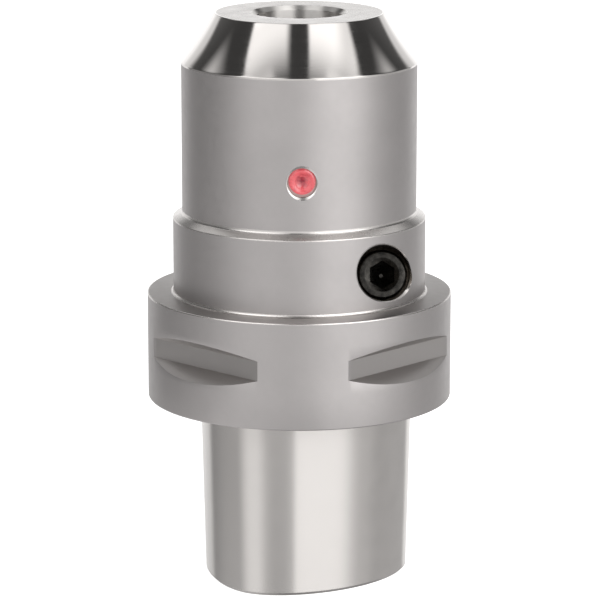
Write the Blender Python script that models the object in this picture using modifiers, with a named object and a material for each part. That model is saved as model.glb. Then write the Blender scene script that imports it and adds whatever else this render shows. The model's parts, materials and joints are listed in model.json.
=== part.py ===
# Hydraulic expansion chuck with a three-lobed taper shank, standing on its shank end
# Metres, +Z up the chuck's axis; azimuths are counted from -Y towards +X
import math

import bmesh
import bpy
from mathutils import Matrix, Vector

MM = 0.001

# Shank: a polygon of constant width that tapers towards its end
SHANK_LENGTH = 38.0 * MM
SHANK_WIDTH = 44.0 * MM                 # across the polygon, at the gauge face
SHANK_LOBE = 1.4 * MM                   # how far each lobe stands out of the mean circle
SHANK_TAPER = 1 / 20                    # change of width for each length
SHANK_END_CHAMFER = 0.8 * MM
SHANK_ROOT = 5.0 * MM                   # how far the polygon reaches up inside the flange

# Flange with its four straight gripper grooves
FLANGE_DIAMETER = 63.0 * MM
FLANGE_THICKNESS = 22.0 * MM
FLANGE_CHAMFER = 0.5 * MM
GRIPPER_GROOVE_COUNT = 4
GRIPPER_GROOVE_AZIMUTH = math.radians(45)
GRIPPER_GROOVE_DEPTH = 3.75 * MM
GRIPPER_GROOVE_FLAT = 4.0 * MM          # height of the groove's flat bottom
GRIPPER_GROOVE_HEIGHT = 12.0 * MM       # of its middle, above the gauge face
GRIPPER_FLANK_ANGLE = math.radians(30)

# Collar, barrel and flared nose
COLLAR_DIAMETER = 52.2 * MM
COLLAR_HEIGHT = 15.7 * MM
COLLAR_FOOT_FILLET = 0.8 * MM
BARREL_DIAMETER = 48.4 * MM
BARREL_HEIGHT = 32.3 * MM
BARREL_FOOT_FILLET = 0.6 * MM
EDGE_BREAK = 0.35 * MM
NOSE_HEIGHT = 10.0 * MM
NOSE_FACE_DIAMETER = 34.7 * MM
NOSE_FLARE_RADIUS = 58.0 * MM           # of the hollow arc from face to barrel

# Expansion sleeve, brazed into the body, with two oil chambers round it
TOOL_BORE_DIAMETER = 18.0 * MM
TOOL_BORE_CHAMFER = 0.85 * MM
SLEEVE_WALL = 3.5 * MM
SLEEVE_TAIL_CHAMFER = 0.5 * MM
BRAZE_GAP = 0.02 * MM
OIL_CHAMBER_DEPTH = 1.2 * MM
BRAZE_LAND = 4.5 * MM                   # at the front; the tail has the same less its chamfer
MIDDLE_LAND = 5.0 * MM                  # between the two chambers
OIL_SLOT_COUNT = 4                      # slots across the middle land
OIL_SLOT_WIDTH = 3.0 * MM
WIPER_GROOVE_WIDTH = 2.0 * MM           # round the tool bore, at the middle land
WIPER_GROOVE_DEPTH = 0.3 * MM

# Clamping screw, piston and seal, in a sloping bore that passes beside the chuck's axis
CLAMP_BORE_OFFSET = 16.6 * MM           # of the bore's axis from the chuck's axis
CLAMP_MOUTH_HEIGHT = 7.8 * MM           # where the bore's axis leaves the collar, above the flange
CLAMP_SLOPE = math.radians(15)          # the screw faces up by this much
CLAMP_ENTRY_DIAMETER = 11.3 * MM
CLAMP_SCREW_DIAMETER = 10.0 * MM
CLAMP_SCREW_LENGTH = 7.0 * MM
CLAMP_SCREW_CHAMFER = 0.5 * MM
CLAMP_SCREW_SINK = 7.5 * MM             # of its face below the collar, along the bore
CLAMP_ENTRY_MARGIN = 2.0 * MM           # how far the wide entry passes the screw's face
CLAMP_KEY = 5.0 * MM                    # across flats
CLAMP_SOCKET_DEPTH = 4.0 * MM
CLAMP_SOCKET_RING = 6.7 * MM            # diameter of the socket's countersink
CLAMP_TRAVEL = 4.0 * MM
CLAMP_RUNOUT = 0.25 * MM                # thread left beyond the screw's last position
PISTON_DIAMETER = 8.0 * MM
PISTON_GUIDE = 2.5 * MM                 # length that stands in the plain bore at rest
PISTON_STUB_DIAMETER = 3.6 * MM
PISTON_HEAD_DIAMETER = 4.8 * MM         # end of the stub, which holds the seal
PISTON_HEAD_LENGTH = 0.6 * MM
PISTON_CHAMFER = 0.4 * MM
BACKUP_RING_THICKNESS = 0.8 * MM
SEAL_THICKNESS = 2.2 * MM
SEAL_LIP_GROOVE = 1.2 * MM              # depth of the groove between the two lips
SEAL_LIP = 0.5 * MM                     # thickness of each lip at its edge
OIL_SPACE = 2.2 * MM                    # bore left beyond the piston's last position
OIL_CHANNEL_DIAMETER = 2.0 * MM
OIL_CHANNEL_RISE = 10.0 * MM            # of its upper end above the sleeve's tail
SEAT_WALL = 1.5 * MM                    # between the clamping bore and the sleeve's seat

# Bleed screw and ball, which close the filling hole in the barrel
BLEED_HEIGHT = 11.3 * MM                # above the collar
BLEED_SCREW_DIAMETER = 6.0 * MM
BLEED_SCREW_LENGTH = 5.0 * MM
BLEED_SCREW_CHAMFER = 0.3 * MM
BLEED_SCREW_SINK = 0.8 * MM
BLEED_KEY = 2.5 * MM
BLEED_SOCKET_DEPTH = 2.0 * MM
BLEED_MOUTH_CHAMFER = 0.35 * MM
BLEED_TAP_DRILL = 5.0 * MM
BLEED_BALL_DIAMETER = 3.0 * MM
BLEED_HOLE_DIAMETER = 1.6 * MM

# Length stop screw with its ring, below the tool bore
STOP_SCREW_DIAMETER = 16.0 * MM
STOP_SCREW_LENGTH = 14.0 * MM           # of the threaded part
STOP_SCREW_CHAMFER = 0.8 * MM
STOP_SCREW_SINK = 1.0 * MM              # of its face below the sleeve
STOP_KEY = 8.0 * MM
STOP_SOCKET_DEPTH = 7.0 * MM
STOP_COOLANT_HOLE = 4.0 * MM
STOP_SPIGOT_LENGTH = 15.0 * MM
STOP_SPIGOT_PLAY = 0.15 * MM
ORING_SECTION = 1.5 * MM
ORING_GROOVE_WIDTH = 2.2 * MM
ORING_END_WALL = 1.4 * MM               # of the spigot below the groove

# Bores in the shank
COOLANT_BORE_DIAMETER = 10.0 * MM
CENTRE_THREAD_MINOR = 17.8 * MM         # for the spindle's M20 bolt
CENTRE_THREAD_LENGTH = 14.0 * MM
CENTRE_THREAD_CHAMFER = 1.2 * MM
DRAWBAR_FLOOR = 16.0 * MM               # of the drawbar cavity, below the gauge face
DRAWBAR_DIAMETER = 28.0 * MM
DRAWBAR_MOUTH_CHAMFER = 1.2 * MM        # height of the cavity's wider mouth
DRAWBAR_MOUTH_FLARE = 1 / 2             # growth of its radius for each height
CLAMPING_GROOVE_DEPTH = 2.4 * MM        # ring groove that the drawbar's segments pull on
CLAMPING_GROOVE_WIDTH = 6.0 * MM
CLAMPING_GROOVE_SINK = 4.5 * MM         # from the cavity's floor down to the groove
CLAMPING_FLANK_ANGLE = math.radians(30)
DRILL_POINT_ANGLE = math.radians(59)    # half of a twist drill's point

# Clearances
RUNNING_CLEARANCE = 0.05 * MM           # of a screw, piston or ring in its bore
CONTACT_GAP = 0.05 * MM                 # between faces that press on each other
OVERCUT = 1.0 * MM                      # how far a cutter passes the face it opens

# Facets round each kind of piece
BODY_STEPS = 72
BORE_STEPS = 48
SCREW_STEPS = 32
SMALL_STEPS = 24
CHANNEL_STEPS = 12                      # oil channel and ball
SECTION_STEPS = 8                       # round the ring's section, and up the ball
FILLET_STEPS = 3
FLARE_STEPS = 6
MERGE_DISTANCE = 0.001 * MM
SHARP_ANGLE = math.radians(30)

# Heights on the chuck's axis
gauge_z = SHANK_LENGTH
flange_top_z = gauge_z + FLANGE_THICKNESS
ledge_z = flange_top_z + COLLAR_HEIGHT
shoulder_z = ledge_z + BARREL_HEIGHT
face_z = shoulder_z + NOSE_HEIGHT
bleed_z = ledge_z + BLEED_HEIGHT

# Radii round the chuck's axis
flange_r = FLANGE_DIAMETER / 2
collar_r = COLLAR_DIAMETER / 2
barrel_r = BARREL_DIAMETER / 2
tool_r = TOOL_BORE_DIAMETER / 2
sleeve_r = tool_r + SLEEVE_WALL
chamber_r = sleeve_r - OIL_CHAMBER_DEPTH

# Distances along the clamping bore, outwards from the point nearest the chuck's axis
clamp_mouth = math.sqrt(collar_r ** 2 - CLAMP_BORE_OFFSET ** 2) / math.cos(CLAMP_SLOPE)
clamp_face = clamp_mouth - CLAMP_SCREW_SINK
clamp_tip = clamp_face - CLAMP_SCREW_LENGTH
plain_bore_start = clamp_tip - CLAMP_TRAVEL - CLAMP_RUNOUT
piston_end = plain_bore_start - PISTON_GUIDE
ring_end = piston_end - BACKUP_RING_THICKNESS - CONTACT_GAP
seal_end = ring_end - SEAL_THICKNESS - CONTACT_GAP
stub_end = seal_end - PISTON_HEAD_LENGTH - CONTACT_GAP
plain_bore_end = stub_end - CLAMP_TRAVEL - OIL_SPACE

# Heights that the clamping bore sets: its nearest point, the sleeve's tail and the stop screw
clamp_z = flange_top_z + CLAMP_MOUTH_HEIGHT - clamp_mouth * math.sin(CLAMP_SLOPE)
sleeve_tail_z = clamp_z + CLAMP_SCREW_DIAMETER / 2 + SEAT_WALL
stop_face_z = sleeve_tail_z - STOP_SCREW_SINK
stop_shoulder_z = stop_face_z - STOP_SCREW_LENGTH
spigot_end_z = stop_shoulder_z - STOP_SPIGOT_LENGTH
oring_r = COOLANT_BORE_DIAMETER / 2 - RUNNING_CLEARANCE - ORING_SECTION / 2

# Distances along the bleed bore, outwards from the chuck's axis
bleed_face = barrel_r - BLEED_SCREW_SINK
bleed_tip = bleed_face - BLEED_SCREW_LENGTH
bleed_ball_middle = bleed_tip - CONTACT_GAP - BLEED_BALL_DIAMETER / 2


def add_collection(name):
    collection = bpy.data.collections.new(name)
    bpy.context.scene.collection.children.link(collection)
    return collection


def add_object(name, data, collection, parent=None):
    new_object = bpy.data.objects.new(name, data)
    new_object.parent = parent
    collection.objects.link(new_object)
    return new_object


def turned(name, profile, steps, parent=None, closed=False):
    # The profile's (radius, height) points run down its outer side, and a ring's is closed
    mesh = bpy.data.meshes.new(name)
    points = [(radius, 0.0, height) for radius, height in profile]
    edges = [(index, index + 1) for index in range(len(points) - 1)]
    if closed:
        edges.append((len(points) - 1, 0))
    mesh.from_pydata(points, edges, [])
    piece = add_object(name, mesh, parts, parent)
    screw = piece.modifiers.new("turn", "SCREW")
    screw.steps = screw.render_steps = steps
    screw.use_merge_vertices = True
    screw.merge_threshold = MERGE_DISTANCE
    return piece


def cylinder(name, radius, low, high, steps, parent=None):
    # A cylinder on its parent's Z axis; its first corner points to +Y
    mesh = bpy.data.meshes.new(name)
    shape = bmesh.new()
    middle = Matrix.Translation((0.0, 0.0, (low + high) / 2))
    bmesh.ops.create_cone(shape, cap_ends=True, segments=steps, radius1=radius, radius2=radius,
                          depth=high - low, matrix=middle)
    shape.to_mesh(mesh)
    shape.free()
    return add_object(name, mesh, parts, parent)


def make_cutter(piece):
    # Cutters stay in their own collection, unrendered, as outlines
    parts.objects.unlink(piece)
    cutters.objects.link(piece)
    piece.hide_render = True
    piece.display_type = "WIRE"
    return piece


def combine(piece, tool, operation):
    boolean = piece.modifiers.new(tool.name, "BOOLEAN")
    boolean.operation = operation
    boolean.object = make_cutter(tool)
    boolean.solver = "EXACT"


def bore_frame(name, offset, height, slope):
    # The axis of a bore that opens towards -Y: its Z points outwards, its Y upwards
    frame = add_object(name, None, parts)
    frame.rotation_euler = (math.radians(90) - slope, 0.0, 0.0)
    frame.location = (offset, 0.0, height)
    return frame


def key_socket(piece, across_flats, face, depth, ring_diameter, parent=None):
    # A hexagon socket with a countersunk ring, cut down from the screw's face
    corner_r = across_flats / 2 / math.cos(math.pi / 6)
    hexagon = cylinder(piece.name + "_hexagon", corner_r, face - depth, face + OVERCUT, 6, parent)
    combine(piece, hexagon, "DIFFERENCE")
    ring_r = ring_diameter / 2
    countersink = [
        (0.0, face + OVERCUT),
        (ring_r + OVERCUT, face + OVERCUT),
        (0.0, face - ring_r),
    ]
    ring = turned(piece.name + "_countersink", countersink, SCREW_STEPS, parent)
    combine(piece, ring, "DIFFERENCE")


def hollow_arc(start, end, radius, steps):
    # Points down a hollow stretch of a profile, on a circle whose centre lies outside the piece
    start, end = Vector(start), Vector(end)
    chord = end - start
    rise = math.sqrt(radius ** 2 - chord.length_squared / 4)
    centre = (start + end) / 2 + rise * Vector((-chord.y, chord.x)).normalized()
    first = math.atan2(start.y - centre.y, start.x - centre.x)
    sweep = 2 * math.asin(chord.length / 2 / radius)
    angles = [first + sweep * step / steps for step in range(steps + 1)]
    return [(centre.x + radius * math.cos(angle), centre.y + radius * math.sin(angle)) for angle in angles]


def foot_fillet(radius, height, fillet):
    # Hollow corner between an upright wall and the level face at its foot
    return hollow_arc((radius, height + fillet), (radius + fillet, height), fillet, FILLET_STEPS)


def polygon_point(width, angle):
    # The shank's outline: its half width swells by one lobe three times a turn
    reach = width / 2 + SHANK_LOBE * math.cos(3 * angle)
    slope = -3 * SHANK_LOBE * math.sin(3 * angle)
    x = reach * math.cos(angle) - slope * math.sin(angle)
    y = reach * math.sin(angle) + slope * math.cos(angle)
    return x, y


def make_shank():
    # Rings of the polygon's outline, lofted from the end up into the flange
    mesh = bpy.data.meshes.new("shank")
    shape = bmesh.new()
    sections = [
        (0.0, -2 * SHANK_END_CHAMFER),
        (SHANK_END_CHAMFER, 0.0),
        (gauge_z + SHANK_ROOT, 0.0),
    ]
    rings = []
    for height, narrower in sections:
        width = SHANK_WIDTH - (gauge_z - height) * SHANK_TAPER + narrower
        turns = [2 * math.pi * step / BODY_STEPS for step in range(BODY_STEPS)]
        outline = [polygon_point(width, turn) for turn in turns]
        rings.append([shape.verts.new((x, y, height)) for x, y in outline])
    for lower, upper in zip(rings, rings[1:]):
        for index in range(BODY_STEPS):
            after = (index + 1) % BODY_STEPS
            shape.faces.new((lower[index], lower[after], upper[after], upper[index]))
    shape.faces.new(reversed(rings[0]))
    shape.faces.new(rings[-1])
    shape.to_mesh(mesh)
    shape.free()
    return add_object("shank", mesh, parts)


def make_gripper_groove(index):
    # A straight cut across the flange's rim: a box whose outer side is taller
    mesh = bpy.data.meshes.new("gripper_groove")
    shape = bmesh.new()
    bmesh.ops.create_cube(shape, size=1.0)
    floor = flange_r - GRIPPER_GROOVE_DEPTH
    reach = GRIPPER_GROOVE_DEPTH + OVERCUT
    for vert in shape.verts:
        outer = vert.co.x > 0
        height = GRIPPER_GROOVE_FLAT + 2 * reach * math.tan(GRIPPER_FLANK_ANGLE) * outer
        vert.co = (floor + reach * outer, vert.co.y * FLANGE_DIAMETER, vert.co.z * height)
    shape.to_mesh(mesh)
    shape.free()
    cutter = add_object(f"gripper_groove_{index + 1}", mesh, parts)
    cutter.location.z = gauge_z + GRIPPER_GROOVE_HEIGHT
    turn = GRIPPER_GROOVE_AZIMUTH + 2 * math.pi * index / GRIPPER_GROOVE_COUNT
    cutter.rotation_euler.z = turn - math.radians(90)
    return cutter


def make_axial_bores():
    # Everything bored on the chuck's axis: sleeve seat, stop screw, coolant, centre bolt, drawbar
    seat_z = sleeve_tail_z - CONTACT_GAP
    bore_r = sleeve_r + BRAZE_GAP
    stop_r = STOP_SCREW_DIAMETER / 2 + RUNNING_CLEARANCE
    step_z = stop_shoulder_z - CONTACT_GAP
    coolant_r = COOLANT_BORE_DIAMETER / 2
    thread_r = CENTRE_THREAD_MINOR / 2
    cavity_z = gauge_z - DRAWBAR_FLOOR
    thread_end_z = cavity_z + CENTRE_THREAD_LENGTH
    point_rise = (thread_r - coolant_r) / math.tan(DRILL_POINT_ANGLE)
    cavity_r = DRAWBAR_DIAMETER / 2
    groove_z = cavity_z - CLAMPING_GROOVE_SINK
    flank = CLAMPING_GROOVE_DEPTH * math.tan(CLAMPING_FLANK_ANGLE)
    mouth_r = cavity_r + (DRAWBAR_MOUTH_CHAMFER + OVERCUT) * DRAWBAR_MOUTH_FLARE
    profile = [
        (0.0, face_z + OVERCUT),
        (bore_r, face_z + OVERCUT),
        (bore_r, seat_z),
        (stop_r + STOP_SCREW_CHAMFER, seat_z),
        (stop_r, seat_z - STOP_SCREW_CHAMFER),
        (stop_r, step_z),
        (coolant_r, step_z),
        (coolant_r, thread_end_z),
        (thread_r, thread_end_z - point_rise),
        (thread_r, cavity_z + CENTRE_THREAD_CHAMFER),
        (thread_r + CENTRE_THREAD_CHAMFER, cavity_z),
        (cavity_r, cavity_z),
        (cavity_r, groove_z),
        (cavity_r + CLAMPING_GROOVE_DEPTH, groove_z - flank),
        (cavity_r + CLAMPING_GROOVE_DEPTH, groove_z - CLAMPING_GROOVE_WIDTH + flank),
        (cavity_r, groove_z - CLAMPING_GROOVE_WIDTH),
        (cavity_r, DRAWBAR_MOUTH_CHAMFER),
        (mouth_r, -OVERCUT),
        (0.0, -OVERCUT),
    ]
    return turned("axial_bores", profile, BORE_STEPS)


def make_clamping_bore():
    # Wide entry, screw thread, then the plain bore that the piston slides in
    entry_r = CLAMP_ENTRY_DIAMETER / 2
    thread_r = CLAMP_SCREW_DIAMETER / 2 + RUNNING_CLEARANCE
    plain_r = PISTON_DIAMETER / 2 + RUNNING_CLEARANCE
    entry_floor = clamp_face - CLAMP_ENTRY_MARGIN
    point_depth = plain_r / math.tan(DRILL_POINT_ANGLE)
    profile = [
        (0.0, collar_r + OVERCUT),
        (entry_r, collar_r + OVERCUT),
        (entry_r, entry_floor),
        (thread_r, entry_floor - (entry_r - thread_r)),
        (thread_r, plain_bore_start),
        (plain_r, plain_bore_start - (thread_r - plain_r)),
        (plain_r, plain_bore_end),
        (0.0, plain_bore_end - point_depth),
    ]
    return turned("clamping_bore", profile, SCREW_STEPS, clamp_axis)


def make_oil_channel():
    # Drilled from inside the sleeve's seat down to the end of the piston's bore
    channel_r = OIL_CHANNEL_DIAMETER / 2
    inwards = -(plain_bore_end + channel_r)
    low = Vector((CLAMP_BORE_OFFSET, inwards * math.cos(CLAMP_SLOPE), 0.0))
    high = low.normalized() * chamber_r
    low.z = clamp_z - inwards * math.sin(CLAMP_SLOPE)
    high.z = sleeve_tail_z + OIL_CHANNEL_RISE
    channel = cylinder("oil_channel", channel_r, 0.0, (high - low).length, CHANNEL_STEPS)
    channel.location = low
    channel.rotation_euler = (high - low).to_track_quat("Z", "Y").to_euler()
    return channel


def make_bleed_bore():
    # Chamfered mouth, screw thread, ball seat and the fine hole into the oil chamber
    thread_r = BLEED_SCREW_DIAMETER / 2 + RUNNING_CLEARANCE
    drill_r = BLEED_TAP_DRILL / 2
    hole_r = BLEED_HOLE_DIAMETER / 2
    seat_start = bleed_ball_middle - BLEED_BALL_DIAMETER / 2 * math.sqrt(2) + hole_r - CONTACT_GAP
    profile = [
        (0.0, barrel_r + OVERCUT),
        (thread_r + BLEED_MOUTH_CHAMFER + OVERCUT, barrel_r + OVERCUT),
        (thread_r, barrel_r - BLEED_MOUTH_CHAMFER),
        (thread_r, bleed_tip - CONTACT_GAP),
        (drill_r, bleed_tip - CONTACT_GAP - (thread_r - drill_r)),
        (drill_r, seat_start + drill_r - hole_r),
        (hole_r, seat_start),
        (hole_r, chamber_r),
        (0.0, chamber_r),
    ]
    return turned("bleed_bore", profile, SMALL_STEPS, bleed_axis)


def make_body():
    # Flange, collar, barrel and nose are turned in one with the shank
    profile = [(0.0, face_z)]
    profile += hollow_arc((NOSE_FACE_DIAMETER / 2, face_z), (barrel_r - EDGE_BREAK, shoulder_z),
                          NOSE_FLARE_RADIUS, FLARE_STEPS)
    profile.append((barrel_r, shoulder_z - EDGE_BREAK))
    profile += foot_fillet(barrel_r, ledge_z, BARREL_FOOT_FILLET)
    profile.append((collar_r - EDGE_BREAK, ledge_z))
    profile.append((collar_r, ledge_z - EDGE_BREAK))
    profile += foot_fillet(collar_r, flange_top_z, COLLAR_FOOT_FILLET)
    profile.append((flange_r - FLANGE_CHAMFER, flange_top_z))
    profile.append((flange_r, flange_top_z - FLANGE_CHAMFER))
    profile.append((flange_r, gauge_z + FLANGE_CHAMFER))
    profile.append((flange_r - FLANGE_CHAMFER, gauge_z))
    profile.append((0.0, gauge_z))
    body = turned("chuck_body", profile, BODY_STEPS)
    combine(body, make_shank(), "UNION")
    for index in range(GRIPPER_GROOVE_COUNT):
        combine(body, make_gripper_groove(index), "DIFFERENCE")
    combine(body, make_axial_bores(), "DIFFERENCE")
    combine(body, make_clamping_bore(), "DIFFERENCE")
    combine(body, make_oil_channel(), "DIFFERENCE")
    combine(body, make_bleed_bore(), "DIFFERENCE")
    return body


def make_sleeve():
    # Thin where the oil presses on it, thick at the brazed lands
    top_chamber_z = face_z - BRAZE_LAND
    tail_chamber_z = sleeve_tail_z + BRAZE_LAND - SLEEVE_TAIL_CHAMFER
    middle_z = (top_chamber_z + tail_chamber_z) / 2
    wiper_r = tool_r + WIPER_GROOVE_DEPTH
    profile = [
        (sleeve_r, face_z),
        (sleeve_r, top_chamber_z),
        (chamber_r, top_chamber_z),
        (chamber_r, middle_z + MIDDLE_LAND / 2),
        (sleeve_r, middle_z + MIDDLE_LAND / 2),
        (sleeve_r, middle_z - MIDDLE_LAND / 2),
        (chamber_r, middle_z - MIDDLE_LAND / 2),
        (chamber_r, tail_chamber_z),
        (sleeve_r, tail_chamber_z),
        (sleeve_r, sleeve_tail_z + SLEEVE_TAIL_CHAMFER),
        (sleeve_r - SLEEVE_TAIL_CHAMFER, sleeve_tail_z),
        (tool_r + SLEEVE_TAIL_CHAMFER, sleeve_tail_z),
        (tool_r, sleeve_tail_z + SLEEVE_TAIL_CHAMFER),
        (tool_r, middle_z - WIPER_GROOVE_WIDTH / 2),
        (wiper_r, middle_z - WIPER_GROOVE_WIDTH / 2 + WIPER_GROOVE_DEPTH),
        (wiper_r, middle_z + WIPER_GROOVE_WIDTH / 2 - WIPER_GROOVE_DEPTH),
        (tool_r, middle_z + WIPER_GROOVE_WIDTH / 2),
        (tool_r, face_z - TOOL_BORE_CHAMFER),
        (tool_r + TOOL_BORE_CHAMFER, face_z),
    ]
    sleeve = turned("expansion_sleeve", profile, BORE_STEPS, closed=True)
    for index in range(OIL_SLOT_COUNT):
        combine(sleeve, make_oil_slot(index, middle_z), "DIFFERENCE")
    return sleeve


def make_oil_slot(index, middle_z):
    # A straight slot across the middle land, as deep as the chambers it joins
    mesh = bpy.data.meshes.new("oil_slot")
    shape = bmesh.new()
    bmesh.ops.create_cube(shape, size=1.0)
    depth = OIL_CHAMBER_DEPTH + OVERCUT
    length = MIDDLE_LAND + OIL_SLOT_WIDTH
    bmesh.ops.scale(shape, vec=(depth, OIL_SLOT_WIDTH, length), verts=shape.verts)
    bmesh.ops.translate(shape, vec=(chamber_r + depth / 2, 0.0, middle_z), verts=shape.verts)
    shape.to_mesh(mesh)
    shape.free()
    slot = add_object(f"oil_slot_{index + 1}", mesh, parts)
    slot.rotation_euler.z = 2 * math.pi * (index + 0.5) / OIL_SLOT_COUNT
    return slot


def make_clamping_screw():
    # Headless screw with a chamfer at each end
    screw_r = CLAMP_SCREW_DIAMETER / 2
    profile = [
        (0.0, clamp_face),
        (screw_r - CLAMP_SCREW_CHAMFER, clamp_face),
        (screw_r, clamp_face - CLAMP_SCREW_CHAMFER),
        (screw_r, clamp_tip + CLAMP_SCREW_CHAMFER),
        (screw_r - CLAMP_SCREW_CHAMFER, clamp_tip),
        (0.0, clamp_tip),
    ]
    screw = turned("clamping_screw", profile, SCREW_STEPS, clamp_axis)
    key_socket(screw, CLAMP_KEY, clamp_face, CLAMP_SOCKET_DEPTH, CLAMP_SOCKET_RING, clamp_axis)
    return screw


def make_piston():
    # Plain pin that the screw pushes, with a headed stub for the ring and the seal
    piston_r = PISTON_DIAMETER / 2
    stub_r = PISTON_STUB_DIAMETER / 2
    head_r = PISTON_HEAD_DIAMETER / 2
    top = clamp_tip - CONTACT_GAP
    profile = [
        (0.0, top),
        (piston_r - PISTON_CHAMFER, top),
        (piston_r, top - PISTON_CHAMFER),
        (piston_r, piston_end),
        (stub_r, piston_end),
        (stub_r, stub_end + PISTON_HEAD_LENGTH),
        (head_r, stub_end + PISTON_HEAD_LENGTH),
        (head_r, stub_end),
        (0.0, stub_end),
    ]
    return turned("pressure_piston", profile, SCREW_STEPS, clamp_axis)


def make_backup_ring():
    # Flat ring that stops the seal from creeping past the piston
    outer_r = PISTON_DIAMETER / 2
    inner_r = PISTON_STUB_DIAMETER / 2 + RUNNING_CLEARANCE
    top = piston_end - CONTACT_GAP
    profile = [(outer_r, top), (outer_r, ring_end), (inner_r, ring_end), (inner_r, top)]
    return turned("backup_ring", profile, SCREW_STEPS, clamp_axis, closed=True)


def make_piston_seal():
    # Ring with two lips, open towards the oil
    outer_r = PISTON_DIAMETER / 2
    inner_r = PISTON_STUB_DIAMETER / 2 + RUNNING_CLEARANCE
    top = ring_end - CONTACT_GAP
    profile = [
        (outer_r, top),
        (outer_r, seal_end),
        (outer_r - SEAL_LIP, seal_end),
        ((outer_r + inner_r) / 2, seal_end + SEAL_LIP_GROOVE),
        (inner_r + SEAL_LIP, seal_end),
        (inner_r, seal_end),
        (inner_r, top),
    ]
    return turned("piston_seal", profile, SCREW_STEPS, clamp_axis, closed=True)


def make_bleed_screw():
    # Short headless screw that holds the ball on its seat
    screw_r = BLEED_SCREW_DIAMETER / 2
    profile = [
        (0.0, bleed_face),
        (screw_r - BLEED_SCREW_CHAMFER, bleed_face),
        (screw_r, bleed_face - BLEED_SCREW_CHAMFER),
        (screw_r, bleed_tip + BLEED_SCREW_CHAMFER),
        (screw_r - BLEED_SCREW_CHAMFER, bleed_tip),
        (0.0, bleed_tip),
    ]
    screw = turned("bleed_screw", profile, SMALL_STEPS, bleed_axis)
    corner_r = BLEED_KEY / 2 / math.cos(math.pi / 6)
    floor = bleed_face - BLEED_SOCKET_DEPTH
    hexagon = cylinder("bleed_hexagon", corner_r, floor, bleed_face + OVERCUT, 6, bleed_axis)
    combine(screw, hexagon, "DIFFERENCE")
    return screw


def make_bleed_ball():
    mesh = bpy.data.meshes.new("bleed_ball")
    shape = bmesh.new()
    bmesh.ops.create_uvsphere(shape, u_segments=CHANNEL_STEPS, v_segments=SECTION_STEPS,
                              radius=BLEED_BALL_DIAMETER / 2)
    shape.to_mesh(mesh)
    shape.free()
    ball = add_object("bleed_ball", mesh, parts, bleed_axis)
    ball.location.z = bleed_ball_middle
    return ball


def make_stop_screw():
    # Threaded part above, plain spigot with the ring's groove below, coolant hole through both
    screw_r = STOP_SCREW_DIAMETER / 2
    spigot_r = COOLANT_BORE_DIAMETER / 2 - STOP_SPIGOT_PLAY
    hole_r = STOP_COOLANT_HOLE / 2
    groove_r = oring_r - ORING_SECTION / 2 - CONTACT_GAP
    groove_low = spigot_end_z + ORING_END_WALL
    groove_high = groove_low + ORING_GROOVE_WIDTH
    profile = [
        (screw_r - STOP_SCREW_CHAMFER, stop_face_z),
        (screw_r, stop_face_z - STOP_SCREW_CHAMFER),
        (screw_r, stop_shoulder_z),
        (spigot_r, stop_shoulder_z),
        (spigot_r, groove_high),
        (groove_r, groove_high),
        (groove_r, groove_low),
        (spigot_r, groove_low),
        (spigot_r, spigot_end_z),
        (hole_r, spigot_end_z),
        (hole_r, stop_face_z),
    ]
    screw = turned("length_stop_screw", profile, SCREW_STEPS, closed=True)
    key_socket(screw, STOP_KEY, stop_face_z, STOP_SOCKET_DEPTH, STOP_KEY / math.cos(math.pi / 6))
    return screw


def make_stop_ring():
    # Round section in the middle of the spigot's groove
    section_r = ORING_SECTION / 2
    middle_z = spigot_end_z + ORING_END_WALL + ORING_GROOVE_WIDTH / 2
    profile = []
    for step in range(SECTION_STEPS):
        turn = 2 * math.pi * step / SECTION_STEPS
        profile.append((oring_r + section_r * math.cos(turn), middle_z - section_r * math.sin(turn)))
    return turned("stop_screw_oring", profile, SCREW_STEPS, closed=True)


def finish(piece, material_name, color, roughness, metallic):
    # Turn the modifiers into the piece's mesh, shade it and give it its own material
    bpy.context.view_layer.update()
    depsgraph = bpy.context.evaluated_depsgraph_get()
    mesh = bpy.data.meshes.new_from_object(piece.evaluated_get(depsgraph))
    piece.modifiers.clear()
    piece.data = mesh
    mesh.shade_smooth()
    mesh.set_sharp_from_angle(angle=SHARP_ANGLE)
    material = bpy.data.materials.new(material_name)
    material.use_nodes = True
    shader = material.node_tree.nodes["Principled BSDF"]
    shader.inputs["Base Color"].default_value = (*color, 1.0)
    shader.inputs["Roughness"].default_value = roughness
    shader.inputs["Metallic"].default_value = metallic
    mesh.materials.clear()
    mesh.materials.append(material)
    mesh.polygons.foreach_set("material_index", [0] * len(mesh.polygons))


for old in list(bpy.data.objects):
    bpy.data.objects.remove(old)
parts = add_collection("hydraulic_chuck")
cutters = add_collection("cutters")

clamp_axis = bore_frame("clamp_axis", CLAMP_BORE_OFFSET, clamp_z, CLAMP_SLOPE)
bleed_axis = bore_frame("bleed_axis", 0.0, bleed_z, 0.0)

finish(make_body(), "blasted_steel", (0.42, 0.40, 0.39), 0.45, 1.0)
finish(make_sleeve(), "honed_steel", (0.55, 0.54, 0.53), 0.2, 1.0)
finish(make_clamping_screw(), "black_oxide_steel", (0.03, 0.03, 0.035), 0.4, 1.0)
finish(make_piston(), "ground_steel", (0.5, 0.5, 0.5), 0.25, 1.0)
finish(make_backup_ring(), "backup_plastic", (0.75, 0.73, 0.68), 0.5, 0.0)
finish(make_piston_seal(), "seal_rubber", (0.02, 0.02, 0.02), 0.6, 0.0)
finish(make_bleed_screw(), "red_lacquered_steel", (0.5, 0.03, 0.05), 0.3, 0.0)
finish(make_bleed_ball(), "ball_steel", (0.6, 0.6, 0.6), 0.1, 1.0)
finish(make_stop_screw(), "dark_screw_steel", (0.05, 0.05, 0.055), 0.4, 1.0)
finish(make_stop_ring(), "ring_rubber", (0.02, 0.02, 0.02), 0.6, 0.0)
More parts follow.
